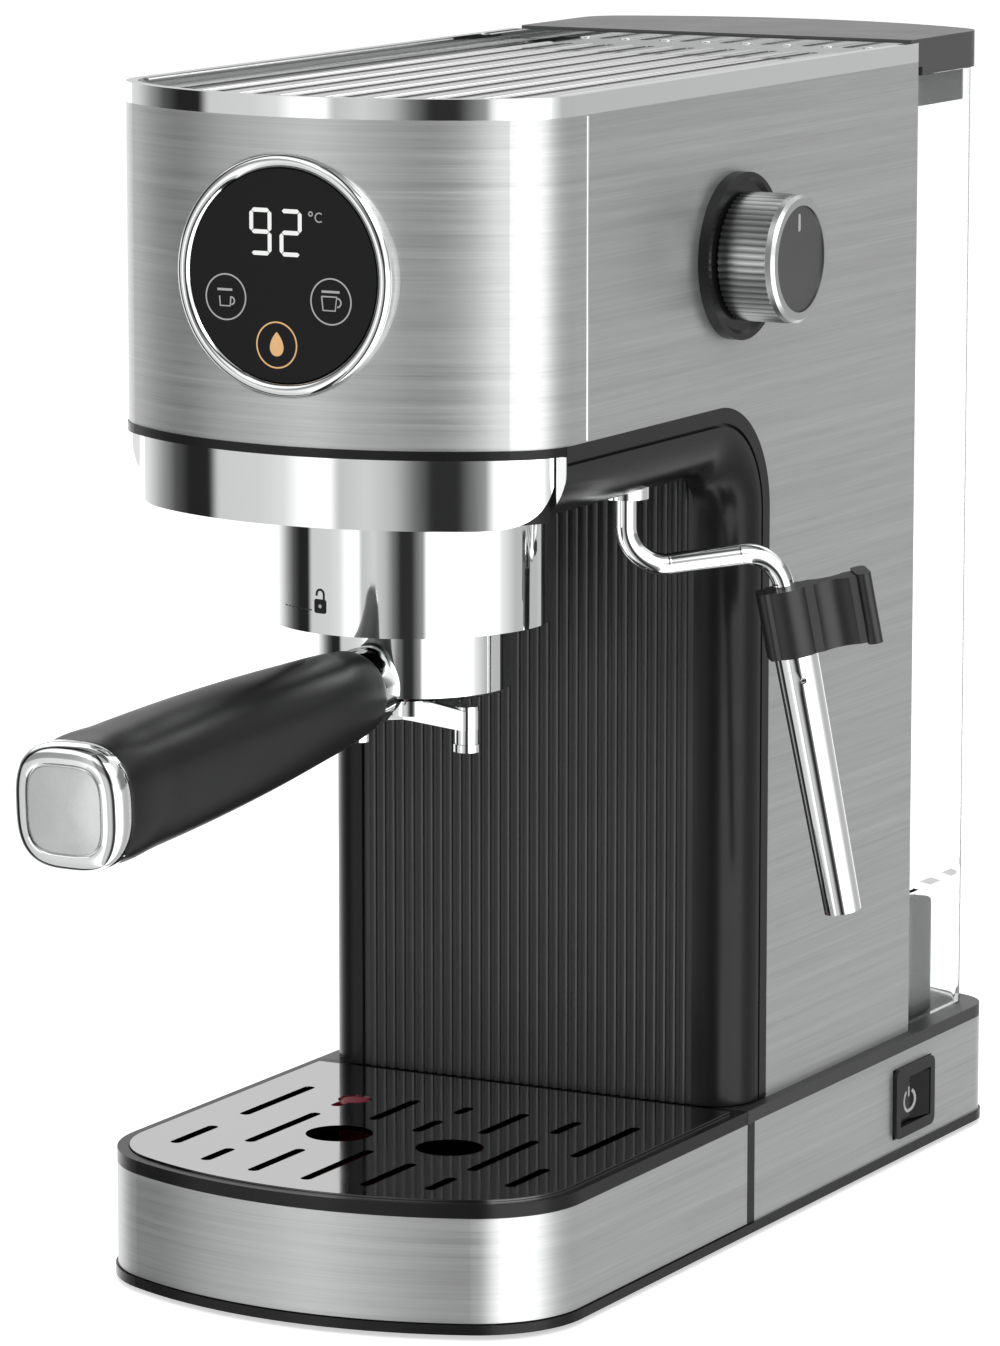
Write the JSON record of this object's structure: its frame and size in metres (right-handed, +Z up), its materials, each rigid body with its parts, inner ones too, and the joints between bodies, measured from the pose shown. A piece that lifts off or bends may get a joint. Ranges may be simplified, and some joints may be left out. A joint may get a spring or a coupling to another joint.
{
  "type": "espresso machine",
  "caption": "Slim pump espresso machine with a locking filter holder, swivelling steam wand, drip tray and lift-off rear water tank.",
  "frame": {"origin": "on the counter, below the middle of the base", "axes": "+Z up, -Y towards the user (the front, where the handle points), +X to the machine's right side seen from the front"},
  "size_m": [0.1722, 0.4, 0.3073],
  "materials": {
    "black_plastic": "satin moulded",
    "charcoal_plastic": "fine matte",
    "grey_plastic": "fine matte",
    "light_plastic": "plain moulded",
    "rubber": "matte",
    "silicone": "translucent matte",
    "brushed_steel": "brushed lengthways",
    "chrome": "polished",
    "mirror_steel": "polished",
    "knob_metal": "fluted, satin",
    "knob_inset": "satin",
    "float_red": "plain moulded",
    "aluminium": "cast",
    "brass": "turned",
    "copper": "drawn tube",
    "pump_body": "moulded",
    "board": "coated board",
    "dark_glass": "black back-printed glass",
    "grip_black": "satin moulded",
    "clear_plastic": "clear moulded"
  },
  "bodies": {
    "machine": {"base_pan": "black_plastic", "rubber_feet": "rubber", "base_band": "brushed_steel", "base_deck": "charcoal_plastic", "base_screws": "mirror_steel", "cord_gland": "black_plastic", "tank_dock": "grey_plastic", "dock_spigot": "light_plastic", "switch_bezel": "black_plastic", "main_frame": "black_plastic", "column_panel": "charcoal_plastic", "arch_trim_left": "black_plastic", "arch_trim_right": "black_plastic", "side_sheet_left": "brushed_steel", "side_sheet_right": "brushed_steel", "rear_cover": "charcoal_plastic", "head_wrap": "brushed_steel", "head_housing": "black_plastic", "skirt": "chrome", "collar": "chrome", "group_ring": "aluminium", "group_gasket": "silicone", "shower_screen": "mirror_steel", "thermoblock": "aluminium", "thermostats": "brass", "pump": "pump_body", "pump_mounts": "rubber", "solenoid_valve": "brass", "water_hoses": "silicone", "steam_valve": "brass", "steam_line": "copper", "wand_socket": "chrome", "control_board": "board", "display_ring": "chrome", "display_glass": "dark_glass", "display_board": "board", "knob_bezel": "black_plastic", "cup_plate": "chrome"},
    "tray": {"drip_tray": "black_plastic", "tray_band": "brushed_steel"},
    "plate": {"drip_plate": "mirror_steel"},
    "float": {"float_indicator": "float_red"},
    "portafilter": {"filter_holder": "chrome", "filter_basket": "mirror_steel", "twin_spout": "chrome", "handle_core": "aluminium", "handle_grip": "grip_black", "handle_ferrule": "chrome", "handle_cap": "chrome"},
    "knob": {"steam_knob": "knob_metal", "knob_inset": "knob_inset", "valve_stem": "brass"},
    "wand": {"wand_pipe": "chrome", "wand_grip": "rubber"},
    "sleeve": {"froth_sleeve": "chrome"},
    "tank": {"water_tank": "clear_plastic", "tank_valve": "light_plastic"},
    "lid": {"tank_lid": "grey_plastic"},
    "rocker": {"power_rocker": "black_plastic"}
  },
  "joints": [
    {"name": "tray_slide", "type": "slide", "parent": "machine", "child": "tray", "axis": [0, -1, 0], "range_m": [0, 0.14]},
    {"name": "plate_lift", "type": "slide", "parent": "tray", "child": "plate", "axis": [0, 0, 1], "range_m": [0, 0.04]},
    {"name": "float_rise", "type": "slide", "parent": "tray", "child": "float", "axis": [0, 0, 1], "range_m": [0, 0.005]},
    {"name": "portafilter_turn", "type": "hinge", "parent": "machine", "child": "portafilter", "pos_m": [0, -0.08, 0.19], "axis": [0, 0, 1], "range_deg": [-45, 0]},
    {"name": "steam_knob_turn", "type": "hinge", "parent": "machine", "child": "knob", "pos_m": [0.062, -0.021, 0.2595], "axis": [1, 0, 0], "range_deg": [0, 180]},
    {"name": "wand_swivel", "type": "hinge", "parent": "machine", "child": "wand", "pos_m": [0.05, -0.0585, 0.2], "axis": [0, 0, 1], "range_deg": [-110, 20]},
    {"name": "sleeve_pull", "type": "slide", "parent": "wand", "child": "sleeve", "axis": [0.1524, 0.1067, -0.9825], "range_m": [0, 0.05]},
    {"name": "tank_lift", "type": "slide", "parent": "machine", "child": "tank", "axis": [0, 0, 1], "range_m": [0, 0.12]},
    {"name": "lid_lift", "type": "slide", "parent": "tank", "child": "lid", "axis": [0, 0, 1], "range_m": [0, 0.05]},
    {"name": "rocker_tip", "type": "hinge", "parent": "machine", "child": "rocker", "pos_m": [0.0615, 0.086, 0.017], "axis": [0, 0, 1], "range_deg": [0, 12]}
  ]
}
